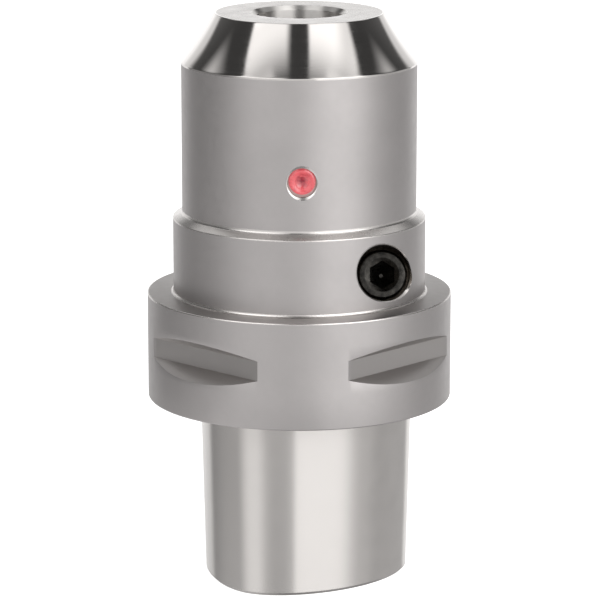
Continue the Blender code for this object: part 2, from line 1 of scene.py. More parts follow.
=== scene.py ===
# Looks of a hydraulic chuck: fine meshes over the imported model, finishes, camera and studio light
# Metres, +Z up the chuck's axis; azimuths are counted from -Y towards +X
import json
import math

import bmesh
import bpy
from mathutils import Matrix, Vector


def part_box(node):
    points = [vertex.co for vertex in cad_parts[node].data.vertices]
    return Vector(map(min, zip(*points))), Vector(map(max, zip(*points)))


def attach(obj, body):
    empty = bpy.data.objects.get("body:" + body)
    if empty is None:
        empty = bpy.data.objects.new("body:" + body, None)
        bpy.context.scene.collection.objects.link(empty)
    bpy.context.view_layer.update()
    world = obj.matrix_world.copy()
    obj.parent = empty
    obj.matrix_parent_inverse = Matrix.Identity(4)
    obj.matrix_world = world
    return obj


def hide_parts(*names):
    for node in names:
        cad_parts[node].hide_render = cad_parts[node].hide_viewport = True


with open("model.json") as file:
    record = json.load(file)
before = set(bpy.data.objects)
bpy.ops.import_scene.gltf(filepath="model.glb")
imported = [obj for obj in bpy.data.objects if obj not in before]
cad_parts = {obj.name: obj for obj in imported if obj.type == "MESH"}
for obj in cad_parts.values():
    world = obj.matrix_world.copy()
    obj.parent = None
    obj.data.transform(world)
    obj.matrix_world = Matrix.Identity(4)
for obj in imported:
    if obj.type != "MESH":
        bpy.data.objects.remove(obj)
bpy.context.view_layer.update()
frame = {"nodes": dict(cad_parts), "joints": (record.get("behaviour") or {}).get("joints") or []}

MM = 0.001

# Camera, fitted to the outlines in the photograph
CAMERA_DISTANCE = 682.8 * MM
CAMERA_PIVOT_HEIGHT = 60.0 * MM
CAMERA_AIM = Vector((0.16 * MM, 0.0, 57.7 * MM))
CAMERA_AZIMUTH = math.radians(-1.4)
CAMERA_ELEVATION = math.radians(12.7)
CAMERA_LENS = 197.1                     # millimetres, on a 36 mm sensor
CAMERA_REACH = 20.0

# Floor
FLOOR_REACH = 3.0                       # from its middle to its edges
FLOOR_SINK = 0.02 * MM                  # below the shank's end
FLOOR_PAINT = 0.8
FLOOR_GLOW = 0.72

# Shank
SHANK_LENGTH = 38.0 * MM
SHANK_WIDTH = 44.0 * MM
SHANK_LOBE = 1.4 * MM
SHANK_TAPER = 1 / 20
SHANK_END_CHAMFER = 0.7 * MM

# Flange and its gripper grooves
FLANGE_RADIUS = 31.5 * MM
FLANGE_THICKNESS = 22.0 * MM
FLANGE_EDGE = 0.25 * MM
GROOVE_COUNT = 4
GROOVE_TURN = math.radians(45)          # of the first groove's middle, from +X
GROOVE_DEPTH = 3.75 * MM
GROOVE_FLAT = 4.0 * MM
GROOVE_HEIGHT = 12.0 * MM               # of its middle, above the gauge face
GROOVE_FLANK = math.radians(30)
GROOVE_MARGIN = 5.0 * MM                # from its middle to the plain wall above and below
GROOVE_EDGE = 0.12 * MM                 # rounding of the milled edges

# Collar, barrel and flared nose
COLLAR_RADIUS = 26.1 * MM
COLLAR_HEIGHT = 15.7 * MM
COLLAR_FOOT_FILLET = 0.5 * MM
BARREL_RADIUS = 24.2 * MM
BARREL_HEIGHT = 32.3 * MM
BARREL_FOOT_FILLET = 0.6 * MM
BARREL_FOOT_SLOPE = 1.0 * MM            # height of the sloping step down to the collar
EDGE_ROUND = 0.2 * MM
PAST_FILLET = 1.2                       # from a corner to the plain wall, in radii of its fillet
EDGE_SOFTNESS = 0.06 * MM               # rounding left on each broken edge
NOSE_HEIGHT = 10.0 * MM
NOSE_FACE_RADIUS = 17.35 * MM
NOSE_FLARE_RADIUS = 58.0 * MM
NOSE_RIM = 0.2 * MM

# Bores on the chuck's axis
TOOL_BORE_RADIUS = 9.0 * MM
TOOL_BORE_CHAMFER = 0.85 * MM
SLEEVE_RADIUS = 12.5 * MM
BRAZE_GAP = 0.02 * MM
OIL_CHAMBER_DEPTH = 1.2 * MM
BRAZE_LAND = 4.5 * MM
MIDDLE_LAND = 5.0 * MM
WIPER_GROOVE_WIDTH = 2.0 * MM
WIPER_GROOVE_DEPTH = 0.3 * MM
SLEEVE_TAIL_CHAMFER = 0.5 * MM
STOP_BORE_RADIUS = 8.05 * MM
STOP_BORE_CHAMFER = 0.8 * MM
COOLANT_BORE_RADIUS = 5.0 * MM
CENTRE_THREAD_MINOR = 8.9 * MM
CENTRE_THREAD_PITCH = 2.0 * MM
CENTRE_THREAD_LENGTH = 14.0 * MM
CENTRE_THREAD_CHAMFER = 1.2 * MM
DRAWBAR_FLOOR = 16.0 * MM               # below the gauge face
DRAWBAR_RADIUS = 14.0 * MM
DRAWBAR_MOUTH_CHAMFER = 1.2 * MM
DRAWBAR_MOUTH_FLARE = 1 / 2             # width of the mouth's chamfer, in shares of its height
CLAMPING_GROOVE_DEPTH = 2.4 * MM
CLAMPING_GROOVE_WIDTH = 6.0 * MM
CLAMPING_GROOVE_SINK = 4.5 * MM         # below the cavity's floor
CLAMPING_FLANK = math.radians(30)
DRILL_POINT = math.radians(59)
DRILL_BLUNTNESS = 1 / 12                # radius of a socket drill's flat tip, in shares of the key

# Clamping screw and its bore
CLAMP_ENTRY_RADIUS = 5.65 * MM
CLAMP_SCREW_RADIUS = 5.0 * MM
CLAMP_SCREW_LENGTH = 7.0 * MM
CLAMP_SCREW_PITCH = 1.0 * MM
CLAMP_SCREW_CHAMFER = 0.4 * MM
CLAMP_FACE_ROUND = 0.15 * MM
CLAMP_SCREW_SINK = 7.5 * MM
CLAMP_LEAD = 0.45 * MM                  # start of the thread's lead-in, above the screw's face
CLAMP_KEY = 5.0 * MM
CLAMP_SOCKET_DEPTH = 4.0 * MM
CLAMP_COUNTERSINK_RADIUS = 3.5 * MM
KEY_COUNTERSINK_SLOPE = math.radians(30)
CLAMP_MOUTH_CHAMFER = 0.2 * MM
CLAMP_BURR_CHAMFER = 0.4 * MM           # this much wider where the mouth's edge is sharpest
CLAMP_BURR_SLOPE = 0.3                  # depth of the chamfer there, in shares of its width
CLAMP_BURR_TURN = math.radians(-28)     # middle of that stretch, from the right
CLAMP_BURR_SPREAD = 1.7                 # that stretch ends 90 degrees / 1.7 to each side
CLAMP_THREAD_RADIUS = 5.05 * MM
CLAMP_PLAIN_RADIUS = 4.05 * MM
CLAMP_PLAIN_START = 4.25 * MM           # below the screw's tip, where the piston's bore starts
CLAMP_PLAIN_LENGTH = 12.5 * MM

# Bleed screw and its bore
BLEED_HEIGHT = 11.3 * MM                # above the collar
BLEED_SCREW_RADIUS = 3.0 * MM
BLEED_SCREW_LENGTH = 5.0 * MM
BLEED_SCREW_CHAMFER = 0.3 * MM
BLEED_SCREW_SINK = 0.8 * MM
BLEED_KEY = 2.5 * MM
BLEED_SOCKET_DEPTH = 2.0 * MM
BLEED_MOUTH_RADIUS = 3.5 * MM
BLEED_MOUTH_SLOPE = math.radians(30)
BLEED_DRILL_RADIUS = 2.5 * MM
BLEED_BALL_ROOM = 3.0 * MM

# Lacquer over the bleed screw
LACQUER_RADIUS = 2.97 * MM
LACQUER_SKIN = (                        # share of the radius, millimetres above the screw's face
    (0.0, -0.40),
    (0.18, -0.36),
    (0.32, -0.22),
    (0.45, -0.02),
    (0.58, 0.15),
    (0.7, 0.24),
    (0.8, 0.24),
    (0.87, 0.17),
    (0.92, 0.09),
    (0.96, 0.05),
    (1.0, 0.04),
)
LACQUER_UNDERSIDE = 0.01 * MM           # above the screw's face, at the socket's edge
LACQUER_PLUG_DEPTH = 0.6 * MM           # in the screw's socket
LACQUER_PLUG_GAP = 0.02 * MM
LACQUER_POOL = (0.2 * MM, 1.6 * MM)     # the dark middle fades out between these radii
LACQUER_POOL_RISE = 0.35 * MM           # of the dark middle, above the screw's axis
LACQUER_RIM = (0.89, 0.95)              # the rim pales between these shares of the radius

# Length stop screw
STOP_SCREW_RADIUS = 8.0 * MM
STOP_SCREW_LENGTH = 14.0 * MM
STOP_SCREW_CHAMFER = 0.8 * MM
STOP_SCREW_PITCH = 1.0 * MM
STOP_KEY = 8.0 * MM
STOP_SOCKET_DEPTH = 7.0 * MM
STOP_HOLE_RADIUS = 2.0 * MM
STOP_SPIGOT_RADIUS = 4.85 * MM
STOP_SPIGOT_LENGTH = 15.0 * MM
ORING_GROOVE_RADIUS = 3.4 * MM
ORING_GROOVE_WIDTH = 2.2 * MM
ORING_END_WALL = 1.4 * MM

# Thread form: shares of the pitch
CREST_SHARE = 1 / 8
ROOT_SHARE = 1 / 4
THREAD_DEPTH_SHARE = 0.613

# Studio panels by direction, in degrees. Left and right side: azimuth, softness, and how far the
# side leans over for each degree up. Bottom and top: elevation and softness. Last: brightness
LEAN_HEIGHT = 42                        # where a leaning side is at its stated azimuth
DARK_ROOM = 0.055
STUDIO_PANELS = {
    "right_softbox": ((13, 8, 0.15), (80, 9, 0.6), (6, 8), (64, 30), 1.12),
    "right_glow": ((8, 44, 0.0), (74, 36, 0.0), (-7, 60), (31, 20), 1.25),
    "right_core": ((15, 6, 0.0), (63, 22, 0.0), (-46, 12), (62, 40), 0.56),
    "left_softbox": ((-75.5, 6, -0.65), (-18, 13, -0.1), (28, 10), (61, 28), 1.42),
    "left_glow": ((-72, 16, 0.0), (-16, 20, 0.0), (16, 30), (38, 14), 1.3),
    "front_fill": ((-63, 38, 0.0), (5, 54, 0.0), (-15, 56), (17, 10), 0.9),
    "table_left": ((-143, 60, 0.0), (-27, 20, 0.0), (-79, 60), (-22, 8), 0.68),
    "table": ((-360, 1, 0.0), (360, 1, 0.0), (-120, 1), (8, 60), 0.26),
    "table_right": ((71, 20, 0.0), (160, 40, 0.0), (-41, 8), (-2, 20), 0.3),
    "backdrop": ((138, 8, 0.0), (222, 8, 0.0), (-18, 12), (20, 8), 0.75),
    "backdrop_middle": ((152, 12, 0.0), (208, 12, 0.0), (-2, 10), (12, 8), 0.33),
    "back_fill": ((112, 20, 0.0), (248, 20, 0.0), (34, 10), (64, 14), 0.7),
    "overhead": ((48, 12, 0.0), (312, 12, 0.0), (66, 12), (120, 1), 0.9),
    "overhead_right": ((59, 8, 0.0), (136, 8, 0.0), (68, 16), (120, 1), 0.8),
}

# Mesh fineness
GROOVE_COLUMNS = 44
PLAIN_COLUMNS = 28
BORE_COLUMNS = 96
SCREW_COLUMNS = 96
ROUND_STEPS = 4
FLARE_STEPS = 28
THREAD_ROWS = 12                        # for each turn of a thread
MERGE_DISTANCE = 0.0005 * MM
SHARP_ANGLE = math.radians(25)
OVERCUT = 1.0 * MM                      # how far a cutter stands out of the wall

# Heights on the chuck's axis
gauge_z = SHANK_LENGTH
flange_top_z = gauge_z + FLANGE_THICKNESS
ledge_z = flange_top_z + COLLAR_HEIGHT
shoulder_z = ledge_z + BARREL_HEIGHT
face_z = shoulder_z + NOSE_HEIGHT
bleed_z = ledge_z + BLEED_HEIGHT
sleeve_tail_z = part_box("expansion_sleeve")[0].z
stop_face_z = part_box("length_stop_screw")[1].z
stop_shoulder_z = stop_face_z - STOP_SCREW_LENGTH

# Slots of the body's mesh, of a bore's cutter and of the sleeve's mesh
# The last body slot is the clamping bore's wall: oily brown, partly darkened as painted shade
BLASTED, POLISHED, FACED, GROUND, BORED, MILLED, OILED_AND_SHADED = range(7)
MOUTH, WALL = range(2)
HONED, FRONT = range(2)

# Which way a thread's depth goes from its crests
INWARDS = 1
OUTWARDS = -1

# Places of a Mix node's sockets, whose names repeat
NUMBER_A, NUMBER_B, COLOUR_A, COLOUR_B = 2, 3, 6, 7
NUMBER_OUT, COLOUR_OUT = 0, 2

# Between these values lies nearly all of a noise texture
NOISE_LOW = 0.3
NOISE_HIGH = 0.7


def srgb(code):
    # A hex colour as the linear values that a shader takes
    channels = [int(code[start:start + 2], 16) / 255 for start in (1, 3, 5)]
    linear = [c / 12.92 if c <= 0.04045 else ((c + 0.055) / 1.055) ** 2.4 for c in channels]
    return (*linear, 1.0)


def add_node(tree, kind, inputs=None, **settings):
    # A shader node with its settings, values and links; a node as an input stands for its first
    # output
    node = tree.nodes.new(kind)
    for name, value in settings.items():
        setattr(node, name, value)
    for socket, value in (inputs or {}).items():
        if isinstance(value, bpy.types.Node):
            value = value.outputs[0]
        if isinstance(value, bpy.types.NodeSocket):
            tree.links.new(value, node.inputs[socket])
        else:
            node.inputs[socket].default_value = value
    return node


def new_finish(name, colour, roughness, patches=None, metallic=1.0):
    # A material with its shader, and the object's own coordinates in metres; patches of uneven
    # roughness are given by their size and their lowest and highest roughness
    material = bpy.data.materials.new(name)
    material.use_nodes = True
    tree = material.node_tree
    shader = tree.nodes["Principled BSDF"]
    shader.inputs["Base Color"].default_value = srgb(colour)
    shader.inputs["Roughness"].default_value = roughness
    shader.inputs["Metallic"].default_value = metallic
    place = add_node(tree, "ShaderNodeTexCoord").outputs["Object"]
    if patches:
        tree.links.new(mottle(tree, place, *patches), shader.inputs["Roughness"])
    return material, tree, shader, place


def mottle(tree, place, size, low, high):
    # A value that wanders between low and high over patches of the given size
    noise = add_node(tree, "ShaderNodeTexNoise", {
        "Vector": place, "Scale": 1 / size, "Detail": 3.0,
    })
    return add_node(tree, "ShaderNodeMapRange", {
        "Value": noise, "From Min": NOISE_LOW, "From Max": NOISE_HIGH,
        "To Min": low, "To Max": high,
    }).outputs["Result"]


def rings(tree, place, spacing, wander):
    # Fine lines round the chuck's axis, left by a turning tool, a grinding wheel or a hone. Real
    # ones are 0.02 to 0.15 mm apart; 0.2 mm is the finest that shows, so they are drawn coarser.
    # Wander is how often they change in a metre across
    parts = add_node(tree, "ShaderNodeSeparateXYZ", {"Vector": place}).outputs
    flat = add_node(tree, "ShaderNodeCombineXYZ", {"X": parts["X"], "Y": parts["Y"]})
    radius = add_node(tree, "ShaderNodeVectorMath", {"Vector": flat}, operation="LENGTH")
    along = add_node(tree, "ShaderNodeMath", {0: parts["Z"], 1: radius.outputs["Value"]},
                     operation="SUBTRACT")
    lines = add_node(tree, "ShaderNodeMath", {0: along, 1: 1 / spacing}, operation="MULTIPLY")
    upright = add_node(tree, "ShaderNodeCombineXYZ", {"Z": lines})
    sideways = add_node(tree, "ShaderNodeVectorMath", {0: flat, 1: (wander, wander, 0.0)},
                        operation="MULTIPLY")
    where = add_node(tree, "ShaderNodeVectorMath", {0: sideways, 1: upright}, operation="ADD")
    return add_node(tree, "ShaderNodeTexNoise", {
        "Vector": where, "Scale": 1.0, "Detail": 4.0, "Roughness": 0.6,
    }).outputs["Fac"]


def roughen(tree, shader, height, depth, strength):
    # Relief of the given depth
    bump = add_node(tree, "ShaderNodeBump", {
        "Height": height, "Distance": depth, "Strength": strength,
    })
    tree.links.new(bump.outputs["Normal"], shader.inputs["Normal"])


def pit(tree, shader, place, size, depth, strength):
    # Even relief without a direction
    noise = add_node(tree, "ShaderNodeTexNoise", {
        "Vector": place, "Scale": 1 / size, "Detail": 2.0,
    })
    roughen(tree, shader, noise, depth, strength)


def draw_out(tree, shader):
    # Lines round the chuck's axis draw each reflection up and down
    shader.inputs["Anisotropic"].default_value = 1.0
    shader.inputs["Anisotropic Rotation"].default_value = 0.25
    tangent = add_node(tree, "ShaderNodeTangent", direction_type="RADIAL", axis="Z")
    tree.links.new(tangent.outputs["Tangent"], shader.inputs["Tangent"])


def blasted_steel():
    # Bead-blasted hardened steel: an even, silky grey with no lines
    material, tree, shader, place = new_finish(
        "blasted_steel", "#B7B3B2", roughness=0.46, patches=(1.5 * MM, 0.43, 0.49))
    tone = mottle(tree, place, size=9.0 * MM, low=0.97, high=1.03)
    grey = add_node(tree, "ShaderNodeCombineColor", {"Red": tone, "Green": tone, "Blue": tone})
    mix = add_node(tree, "ShaderNodeMix", {
        "Factor": 1.0, COLOUR_A: srgb("#B7B3B2"), COLOUR_B: grey,
    }, data_type="RGBA", blend_type="MULTIPLY")
    tree.links.new(mix.outputs[COLOUR_OUT], shader.inputs["Base Color"])
    # Bead craters are about 0.1 mm wide; 0.25 mm is the finest that shows
    pit(tree, shader, place, size=0.25 * MM, depth=0.01 * MM, strength=0.35)
    return material


def polished_steel():
    # Turned and polished nose: sharp reflections, drawn out by its rings. Those are 0.1 mm apart,
    # and are drawn at 0.4 mm to show
    material, tree, shader, place = new_finish("polished_steel", "#D2CECB", roughness=0.12)
    lines = rings(tree, place, spacing=0.4 * MM, wander=60.0)
    streak = add_node(tree, "ShaderNodeMapRange", {
        "Value": lines, "From Min": NOISE_LOW, "From Max": NOISE_HIGH,
        "To Min": 0.05, "To Max": 0.12,
    })
    tree.links.new(streak.outputs["Result"], shader.inputs["Roughness"])
    roughen(tree, shader, lines, depth=0.004 * MM, strength=0.5)
    return material


def faced_steel():
    # Front face, fillets, broken edges and mouths of bores, all turned: light, with faint rings
    material, tree, shader, place = new_finish(
        "faced_steel", "#D2CECB", roughness=0.26, patches=(3.0 * MM, 0.24, 0.29))
    lines = rings(tree, place, spacing=0.3 * MM, wander=100.0)
    roughen(tree, shader, lines, depth=0.004 * MM, strength=0.4)
    return material


def ground_steel():
    # Ground taper: the wheel's lines run round it and draw each reflection up and down
    material, tree, shader, place = new_finish(
        "ground_steel", "#D2CECB", roughness=0.25, patches=(4.0 * MM, 0.23, 0.27))
    draw_out(tree, shader)
    lines = rings(tree, place, spacing=0.25 * MM, wander=150.0)
    roughen(tree, shader, lines, depth=0.006 * MM, strength=0.5)
    return material


def bored_steel():
    # Bored and drilled walls: darker, with tool lines
    material, tree, shader, place = new_finish(
        "bored_steel", "#A8A4A0", roughness=0.3, patches=(2.0 * MM, 0.26, 0.36))
    lines = rings(tree, place, spacing=0.25 * MM, wander=80.0)
    roughen(tree, shader, lines, depth=0.006 * MM, strength=0.5)
    return material


def oiled_and_shaded_steel():
    # Wall of the clamping bore: a greasy brown from hardening scale and oil, made darker still as
    # painted shade for the bore's shadowed inside
    material, tree, shader, place = new_finish(
        "oiled_and_shaded_steel", "#565049", roughness=0.3, patches=(0.8 * MM, 0.24, 0.4))
    pit(tree, shader, place, size=0.4 * MM, depth=0.02 * MM, strength=0.4)
    return material


def milled_steel():
    # Gripper grooves and top of the flange: a shade darker than the blasted wall, with a low shine
    material, tree, shader, place = new_finish(
        "milled_steel", "#B2AEAC", roughness=0.4, patches=(2.0 * MM, 0.37, 0.43))
    # Cutter marks are about 0.1 mm apart; 0.3 mm is drawn, so that they show
    pit(tree, shader, place, size=0.3 * MM, depth=0.006 * MM, strength=0.3)
    return material


def honed_steel():
    # Honed tool bore: fine lines round it draw each reflection up and down
    material, tree, shader, place = new_finish(
        "honed_steel", "#D8D5D2", roughness=0.36, patches=(2.0 * MM, 0.34, 0.38))
    draw_out(tree, shader)
    lines = rings(tree, place, spacing=0.2 * MM, wander=200.0)
    roughen(tree, shader, lines, depth=0.002 * MM, strength=0.3)
    return material


def black_oxide_steel(name, origin=(0.0, 0.0, 0.0), tilt=0.0):
    # Black oxide on a turned screw: near black, with a low oily gloss and rings round its own axis
    material, tree, shader, place = new_finish(
        name, "#434242", roughness=0.32, patches=(0.8 * MM, 0.24, 0.38))
    own = add_node(tree, "ShaderNodeMapping", {
        "Vector": place, "Location": origin, "Rotation": (tilt, 0.0, 0.0),
    }, vector_type="TEXTURE")
    tone = add_node(tree, "ShaderNodeMix", {
        "Factor": mottle(tree, place, size=1.1 * MM, low=0.0, high=1.0),
        COLOUR_A: srgb("#2B2A29"), COLOUR_B: srgb("#474542"),
    }, data_type="RGBA")
    tree.links.new(tone.outputs[COLOUR_OUT], shader.inputs["Base Color"])
    lines = rings(tree, own, spacing=0.5 * MM, wander=500.0)
    roughen(tree, shader, lines, depth=0.03 * MM, strength=0.9)
    return material


def red_lacquer():
    # Sealing lacquer: glossy pinkish red, brushed on thick, darker where it pools in the socket
    material, tree, shader, place = new_finish(
        "red_lacquer", "#E0525A", roughness=0.25, metallic=0.0)
    middle = Vector((0.0, -BARREL_RADIUS, bleed_z + LACQUER_POOL_RISE))
    aside = add_node(tree, "ShaderNodeVectorMath", {0: place, 1: middle}, operation="SUBTRACT")
    across = add_node(tree, "ShaderNodeVectorMath", {0: aside, 1: (1.0, 0.0, 1.0)},
                      operation="MULTIPLY")
    reach = add_node(tree, "ShaderNodeVectorMath", {0: across}, operation="LENGTH").outputs["Value"]
    pooled = add_node(tree, "ShaderNodeMapRange", {
        "Value": reach, "From Min": LACQUER_POOL[0], "From Max": LACQUER_POOL[1],
    })
    blotch = mottle(tree, place, size=0.7 * MM, low=-0.3, high=0.3)
    share = add_node(tree, "ShaderNodeMath", {0: pooled, 1: blotch},
                     operation="ADD", use_clamp=True)
    mix = add_node(tree, "ShaderNodeMix", {
        "Factor": share, COLOUR_A: srgb("#8E1029"), COLOUR_B: srgb("#E2585F"),
    }, data_type="RGBA")
    rim = add_node(tree, "ShaderNodeMapRange", {
        "Value": reach,
        "From Min": LACQUER_RIM[0] * LACQUER_RADIUS,
        "From Max": LACQUER_RIM[1] * LACQUER_RADIUS,
    })
    edged = add_node(tree, "ShaderNodeMix", {
        "Factor": rim, COLOUR_A: mix.outputs[COLOUR_OUT], COLOUR_B: srgb("#B79A96"),
    }, data_type="RGBA")
    tree.links.new(edged.outputs[COLOUR_OUT], shader.inputs["Base Color"])
    shader.inputs["Coat Weight"].default_value = 1.0
    shader.inputs["Coat Roughness"].default_value = 0.08
    shader.inputs["Coat IOR"].default_value = 1.55
    pit(tree, shader, place, size=0.5 * MM, depth=0.06 * MM, strength=0.5)
    return material


def filled_ptfe():
    # Turned filled PTFE: waxy off-white
    return new_finish(
        "filled_ptfe", "#DAD5CB", roughness=0.45, patches=(0.5 * MM, 0.4, 0.5), metallic=0.0)[0]


def nitrile_rubber():
    # Moulded nitrile rubber: dull black
    return new_finish(
        "nitrile_rubber", "#1F1F20", roughness=0.6, patches=(0.5 * MM, 0.5, 0.65), metallic=0.0)[0]


def pin_steel():
    # Ground piston: plain bright steel
    return new_finish(
        "pin_steel", "#C6C4C2", roughness=0.22, patches=(1.0 * MM, 0.18, 0.26))[0]


def ball_steel():
    # Bearing ball: mirror finish
    return new_finish(
        "ball_steel", "#D6D6D6", roughness=0.05, patches=(1.0 * MM, 0.04, 0.07))[0]


def even_turns(columns):
    # The angles of a round mesh's columns
    return [2 * math.pi * column / columns for column in range(columns)]


def body_turns():
    # The body's columns, with one on each end of each gripper groove
    half = math.acos((FLANGE_RADIUS - GROOVE_DEPTH) / FLANGE_RADIUS)
    between = 2 * math.pi / GROOVE_COUNT
    rest = between - 2 * half
    turns = []
    for index in range(GROOVE_COUNT):
        middle = GROOVE_TURN + index * between
        first, last = middle - half, middle + half
        turns += [first + 2 * half * step / GROOVE_COLUMNS for step in range(GROOVE_COLUMNS)]
        turns += [last + rest * step / PLAIN_COLUMNS for step in range(PLAIN_COLUMNS)]
    return turns


def rounded(corners):
    # Each corner is (radius, height, fillet); a fillet becomes a short arc
    points = []
    for index, (radius, height, fillet) in enumerate(corners):
        here = Vector((radius, height))
        if not fillet:
            points.append(here)
            continue
        before = (Vector(corners[index - 1][:2]) - here).normalized()
        after = (Vector(corners[index + 1][:2]) - here).normalized()
        half = before.angle(after) / 2
        reach = fillet / math.tan(half)
        centre = here + (before + after).normalized() * fillet / math.sin(half)
        first = here + before * reach - centre
        last = here + after * reach - centre
        for step in range(ROUND_STEPS + 1):
            share = step / ROUND_STEPS
            points.append(centre + first.lerp(last, share).normalized() * fillet)
    return points


def circle_row(turns, radius, height):
    # One level ring of points
    return [Vector((radius * math.cos(turn), radius * math.sin(turn), height)) for turn in turns]


def profile_rows(turns, corners, slot=0, following=None):
    # Rows down a turned profile; what follows its last row may have another slot
    rows = [(circle_row(turns, point.x, point.y), slot) for point in rounded(corners)]
    if following is not None:
        rows[-1] = (rows[-1][0], following)
    return rows


def step_rows(turns, corners, flat):
    # A turned step: bright fillet and outer edge, and between them the flat with its own slot
    rows = profile_rows(turns, corners, FACED, BLASTED)
    flat_row = ROUND_STEPS + 1
    rows[flat_row] = (rows[flat_row][0], flat)
    return rows


def polygon_row(turns, height, narrower):
    # Outline of the three-lobed taper at a height, where a chamfer may make it narrower
    width = SHANK_WIDTH - (gauge_z - height) * SHANK_TAPER - narrower
    row = []
    for turn in turns:
        reach = width / 2 + SHANK_LOBE * math.cos(3 * turn)
        slope = -3 * SHANK_LOBE * math.sin(3 * turn)
        x = reach * math.cos(turn) - slope * math.sin(turn)
        y = reach * math.sin(turn) + slope * math.cos(turn)
        row.append(Vector((x, y, height)))
    return row


def groove_rows(turns):
    # The flange's wall, cut by straight grooves: rows follow each groove's edges
    flanks_and_floor = range(2, 5)
    floor = FLANGE_RADIUS - GROOVE_DEPTH
    middle_z = gauge_z + GROOVE_HEIGHT
    between = 2 * math.pi / GROOVE_COUNT
    columns = []
    finishes = []
    for turn in turns:
        aside = (turn - GROOVE_TURN + between / 2) % between - between / 2
        depth = max(FLANGE_RADIUS * math.cos(aside) - floor, 0.0)
        finishes.append(MILLED if depth > 0 else BLASTED)
        deep_r = min(floor / math.cos(aside), FLANGE_RADIUS)
        outer = Vector((FLANGE_RADIUS, GROOVE_FLAT / 2 + depth * math.tan(GROOVE_FLANK)))
        inner = Vector((deep_r, GROOVE_FLAT / 2))
        edge = min(GROOVE_EDGE, (outer - inner).length / 3)
        above = outer + Vector((0.0, edge))
        below = outer + (inner - outer).normalized() * edge
        crown = (above + 2 * outer + below) / 4
        upper = [above, crown, below, inner]
        columns.append(upper + [Vector((point.x, -point.y)) for point in reversed(upper)])
    rows = []
    for step in range(len(columns[0])):
        row = []
        for turn, column in zip(turns, columns):
            reach, height = column[step]
            row.append(Vector((reach * math.cos(turn), reach * math.sin(turn), middle_z + height)))
        rows.append((row, finishes if step in flanks_and_floor else BLASTED))
    return rows


def thread_depth(phase):
    # Depth of a V thread at a share of its pitch, in shares of its full depth
    phase = abs((phase + 0.5) % 1.0 - 0.5) * 2
    return min(max((phase - CREST_SHARE) / (1 - CREST_SHARE - ROOT_SHARE), 0.0), 1.0)


def thread_rows(turns, top, bottom, crest, pitch, direction, slot=0, limit=None):
    # Level rows down a right-handed thread
    rows = []
    count = round((top - bottom) / pitch * THREAD_ROWS)
    for step in range(count + 1):
        height = top + (bottom - top) * step / count
        row = []
        for turn in turns:
            depth = thread_depth(height / pitch - turn / (2 * math.pi))
            radius = crest - direction * depth * THREAD_DEPTH_SHARE * pitch
            if limit:
                radius = limit(radius, height)
            row.append(Vector((radius * math.cos(turn), radius * math.sin(turn), height)))
        rows.append((row, slot))
    return rows


def lofted(name, rows, closed, materials):
    # Skin over the rows; an open skin is capped at its first and last row
    mesh = bpy.data.meshes.new(name)
    shape = bmesh.new()
    levels = [[shape.verts.new(point) for point in points] for points, _ in rows]
    count = len(levels[0])
    last = len(levels) if closed else len(levels) - 1
    for index in range(last):
        upper, lower = levels[index], levels[(index + 1) % len(levels)]
        for column in range(count):
            after = (column + 1) % count
            face = shape.faces.new((upper[column], lower[column], lower[after], upper[after]))
            slot = rows[index][1]
            face.material_index = slot[column] if isinstance(slot, list) else slot
    if not closed:
        shape.faces.new(levels[0])
        shape.faces.new(reversed(levels[-1]))
    bmesh.ops.remove_doubles(shape, verts=shape.verts, dist=MERGE_DISTANCE)
    bmesh.ops.recalc_face_normals(shape, faces=shape.faces)
    shape.to_mesh(mesh)
    shape.free()
    for material in materials:
        mesh.materials.append(material)
    piece = bpy.data.objects.new(name, mesh)
    bpy.context.scene.collection.objects.link(piece)
    return piece


def cut(piece, cutter):
    # Takes the cutter's shape out of the piece and removes the cutter
    boolean = piece.modifiers.new("cut", "BOOLEAN")
    boolean.operation = "DIFFERENCE"
    boolean.solver = "EXACT"
    boolean.material_mode = "TRANSFER"
    boolean.object = cutter
    bpy.context.view_layer.update()
    graph = bpy.context.evaluated_depsgraph_get()
    mesh = bpy.data.meshes.new_from_object(piece.evaluated_get(graph))
    piece.modifiers.clear()
    piece.data = mesh
    bpy.data.objects.remove(cutter)


def smooth(piece):
    # Smooth shading, with a crisp edge wherever two faces meet at more than the sharp angle
    piece.data.shade_smooth()
    piece.data.set_sharp_from_angle(angle=SHARP_ANGLE)


def mouth_distance(across, up, wall_r, slope):
    # How far out along a bore a line at (across, up) from its axis meets the round wall
    return (math.sqrt(wall_r ** 2 - across ** 2) + up * math.sin(slope)) / math.cos(slope)


def clamping_cutter(axis, inner_rows, mouth, wall_finish):
    # The clamping bore: its mouth's chamfer follows the round wall, and is wider at the sharp edge
    turns = even_turns(BORE_COLUMNS)
    offset = axis.translation.x
    slope = math.asin(axis.col[2].z)
    radius = CLAMP_ENTRY_RADIUS
    far = []
    rim = []
    wall = []
    for turn in turns:
        across, up = math.cos(turn), math.sin(turn)
        aside = abs(math.remainder(turn - CLAMP_BURR_TURN, 2 * math.pi)) * CLAMP_BURR_SPREAD
        burr = math.cos(min(aside, math.pi / 2)) ** 2
        chamfer = CLAMP_MOUTH_CHAMFER + CLAMP_BURR_CHAMFER * burr
        steepness = 1 + (CLAMP_BURR_SLOPE - 1) * burr
        wide = radius + chamfer
        on_wall = mouth_distance(offset + wide * across, wide * up, COLLAR_RADIUS, slope)
        at_wall = mouth_distance(offset + radius * across, radius * up, COLLAR_RADIUS, slope)
        inside = min(at_wall, on_wall) - steepness * chamfer
        far.append(Vector((wide * across, wide * up, COLLAR_RADIUS + 2 * OVERCUT)))
        rim.append(Vector((wide * across, wide * up, on_wall)))
        wall.append(Vector((radius * across, radius * up, inside)))
    rows = [(far, MOUTH), (rim, MOUTH), (wall, WALL)]
    return bore_cutter("clamping_bore", axis, rows + inner_rows, [mouth, wall_finish])


